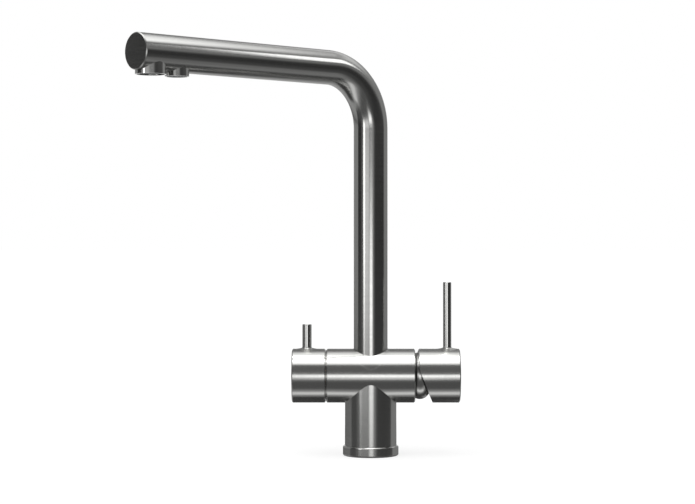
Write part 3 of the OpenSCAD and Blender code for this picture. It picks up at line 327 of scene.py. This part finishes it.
def round_body(tree, place):
    """The lower half's lines where a point is low_r from the upright axis, the bar's elsewhere."""
    flat = add(tree, "ShaderNodeVectorMath", {1: (1, 1, 0)}, {0: place}, operation="MULTIPLY").outputs[0]
    out = add(tree, "ShaderNodeVectorMath", links={0: flat}, operation="LENGTH").outputs["Value"]
    off = add(tree, "ShaderNodeMath", {1: low_r}, {0: out}, operation="SUBTRACT").outputs[0]
    off = add(tree, "ShaderNodeMath", links={0: off}, operation="ABSOLUTE").outputs[0]
    on_bar = add(tree, "ShaderNodeMapRange", {"From Min": 0.0001, "From Max": 0.0004},
                 {"Value": off}).outputs[0]
    low_across, low_run = round_upright(tree, place)
    bar_across, bar_run = round_bar(tree, place)
    across = add(tree, "ShaderNodeMix", links={"Factor": on_bar, "A": low_across, "B": bar_across}).outputs[0]
    run = add(tree, "ShaderNodeMix", links={"Factor": on_bar, "A": low_run, "B": bar_run},
              data_type="VECTOR").outputs["Result"]
    return across, run


def finish_node(material, *names):
    """Gives CAD nodes their finish through their own material slots."""
    for name in names:
        for material_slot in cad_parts[name].material_slots:
            material_slot.material = material


body_steel = metal("brushed_stainless_body", "#c7c7c5", 0.20, 0.9, round_body)
upright_steel = metal("brushed_stainless_upright", "#c7c7c5", 0.20, 0.9, round_upright)
finish_node(body_steel, "body")
finish_node(upright_steel, "base_ring")


# Rubber seal and O-rings
# Black EPDM, pressed in a mould: no shine, but a dull grey bloom and a very fine orange peel. Only the
# seal under the foot can be seen from outside.
def moulded(name, low_code, high_code, ior, roughness, grain_mm, depth_mm):
    """A moulded or pressed surface: its colour wanders between two close tones in soft 7 mm clouds.

    A noise of grain_mm from bump to bump raises it by depth_mm and swings the roughness a little.
    """
    material = new_material(name)
    tree = material.node_tree
    place = add(tree, "ShaderNodeTexCoord").outputs["Object"]
    cloud = add(tree, "ShaderNodeTexNoise", {"Scale": 140.0, "Detail": 2.0}, {"Vector": place}).outputs["Fac"]
    tone = add(tree, "ShaderNodeMix", {"A": linear(low_code), "B": linear(high_code)}, {"Factor": cloud},
               data_type="RGBA").outputs["Result"]
    grain = add(tree, "ShaderNodeTexNoise", {"Scale": 1000 / grain_mm, "Detail": 2.0},
                {"Vector": place}).outputs["Fac"]
    gloss = add(tree, "ShaderNodeMapRange", {"To Min": roughness - 0.06, "To Max": roughness + 0.06},
                {"Value": grain}).outputs[0]
    tilt = add(tree, "ShaderNodeBump", {"Strength": 0.3, "Distance": depth_mm / 1000},
               {"Height": grain}).outputs[0]
    finish = add(tree, "ShaderNodeBsdfPrincipled", {"IOR": ior}, {"Base Color": tone, "Roughness": gloss,
                 "Normal": tilt}).outputs[0]
    add(tree, "ShaderNodeOutputMaterial", links={"Surface": finish})
    return material


rubber = moulded("pressed_epdm_rubber", "#1c1c1d", "#262627", 1.52, 0.75, 0.6, 0.02)
finish_node(rubber, "base_gasket", "cartridge_seals", "valve_washer", "valve_seat_seal", "spout_seals",
            "nipple_seal", "aerator_washer", "spindle_seal")

# Swivel of the spout
# A turned brass adapter in the tube's foot and a brass nipple for the filtered water, between two white
# acetal bushes, all kept in by a grub screw at the back of the bar.
brass = metal("turned_brass", "#c3a063", 0.26, 0.6, round_bar)
acetal = moulded("moulded_white_acetal", "#d4d3cd", "#dddcd7", 1.48, 0.40, 0.8, 0.01)
screw_steel = metal("machined_screw_steel", "#a3a3a6", 0.28, 0.5, round_upright)
finish_node(brass, "spout_adapter", "filter_nipple", "filter_elbow")
finish_node(acetal, "upper_bush", "lower_bush")
finish_node(screw_steel, "spout_lock_screw")


# Spout tube, end plate and inner tube
# A drawn stainless tube, bent cold and brushed round its length. A flat plate, brushed level, closes
# its tip, and a soft polyethylene tube for the filtered water runs all the way through it.
arm_way = (-0.737, -0.676, 0)
bend_low, bend_high = 0.29, 0.33


def round_tube(tree, place):
    """Lines round the column by height, and round the arm, past the bend, by the distance along it.

    They run at right angles to both the tube's way and the direction that its skin faces.
    """
    up = add(tree, "ShaderNodeSeparateXYZ", links={0: place}).outputs["Z"]
    out = add(tree, "ShaderNodeVectorMath", {1: arm_way}, {0: place},
              operation="DOT_PRODUCT").outputs["Value"]
    on_arm = add(tree, "ShaderNodeMapRange", {"From Min": bend_low, "From Max": bend_high}, {"Value": up},
                 interpolation_type="SMOOTHSTEP").outputs[0]
    path = add(tree, "ShaderNodeMix", {"A": (0, 0, 1), "B": arm_way}, {"Factor": on_arm},
               data_type="VECTOR").outputs["Result"]
    facing = add(tree, "ShaderNodeNewGeometry").outputs["Normal"]
    run = add(tree, "ShaderNodeVectorMath", links={0: path, 1: facing}, operation="CROSS_PRODUCT").outputs[0]
    return add(tree, "ShaderNodeMix", links={"Factor": on_arm, "A": up, "B": out}).outputs[0], run


tube_steel = metal("brushed_stainless_tube", "#c7c7c5", 0.18, 0.9, round_tube)
finish_node(tube_steel, "spout_tube")
finish_node(upright_steel, "end_plate")
polyethylene = moulded("drawn_polyethylene", "#dfe4e8", "#e6eaee", 1.51, 0.32, 1.5, 0.01)
finish_node(polyethylene, "inner_tube")

# Outlets
# Two collars turned from finely polished stainless steel, welded under the arm. The one at the tip
# holds a screwed-in aerator, the smaller one behind it a flow former for filtered water.
polished_steel = metal("polished_stainless", "#cdcdcb", 0.13, 0.6, round_upright, 0.02, 0.02)
comb_acetal = moulded("moulded_grey_acetal", "#b4b6b8", "#bfc1c2", 1.48, 0.45, 0.6, 0.01)
finish_node(polished_steel, "main_collar", "filter_collar", "aerator_case")
finish_node(comb_acetal, "aerator_comb", "filter_comb")

# Cartridge of the mixer
# White acetal housing, turret and carrier round two lapped alumina discs, clamped by a brass nut.
# The stem that the handle turns and tilts is machined steel on a steel pin.
cartridge_acetal = moulded("moulded_cartridge_acetal", "#c9cccf", "#d3d5d7", 1.48, 0.42, 0.8, 0.01)
alumina = moulded("lapped_alumina", "#ece9e2", "#f2f0ea", 1.76, 0.16, 0.5, 0.002)
finish_node(cartridge_acetal, "cartridge_base", "cartridge_housing", "turret", "disc_carrier")
finish_node(alumina, "fixed_disc", "moving_disc", "valve_fixed_disc", "valve_moving_disc")
finish_node(brass, "cartridge_nut", "filter_valve_body", "valve_spindle", "spindle_clip")
finish_node(screw_steel, "pivot_pin", "stem", "mixer_grub_screw", "filter_grub_screw")


# Handles, cover ring and levers
# Turned stainless drums on the bar's two ends, brushed like it. Each has a polished rod pressed into
# its crest, and the crest swells up softly round the rod's root.
bar_steel = metal("brushed_stainless_bar", "#c7c7c5", 0.20, 0.9, round_bar)
finish_node(bar_steel, "mixer_handle", "filter_handle")
# The cover ring's painted shade reaches 5 mm, so it darkens beside the handle's rim and the bar's end.
finish_node(metal("turned_stainless_ring", "#cdcdcb", 0.19, 0.6, round_bar, 0.02, 0.02, 5.0), "cover_ring")
finish_node(polished_steel, "mixer_lever", "filter_lever")


def root_swell(name, rod_x, rod_r, body):
    """The soft rise of a handle's crest round its rod, a closed ring with a flat-lying rim.

    Its top is the crest, bar_z + the root of (bar_r squared - y squared), plus an arc of 22 mm radius
    that is tangent to the crest 6.6 mm out from the rod: arc_r - the root of (arc_r squared - (reach -
    distance from the rod) squared). The whole lies sink low, so that its rim dips into the crest, and
    the turn runs backwards, so that its faces point outward.
    """
    arc_r, run, sink, under = 0.022, 0.0066, 0.00003, 0.0006
    reach = rod_r + run
    out = np.linspace(rod_r - 0.0003, reach, 24)
    rise = arc_r - np.sqrt(arc_r ** 2 - (reach - out) ** 2) - sink
    out = np.concatenate([out, out[::-1]])
    rise = np.concatenate([rise, np.full_like(rise, -under)])
    turn = np.linspace(2 * pi, 0, 96, endpoint=False)
    x = rod_x + np.outer(out, np.cos(turn))
    y = np.outer(out, np.sin(turn))
    z = bar_z + np.sqrt(bar_r ** 2 - y ** 2) + rise[:, None]
    piece = surface(name, np.stack([x, y, z], axis=-1), round_rows=True, round_columns=True)
    piece.data.materials.append(bar_steel)
    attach(piece, body)
    return piece


mixer_swell = root_swell("mixer_root_swell", 0.0675, 0.0037, "mixer_grip")
filter_swell = root_swell("filter_root_swell", -0.0562, 0.0041, "filter_grip")
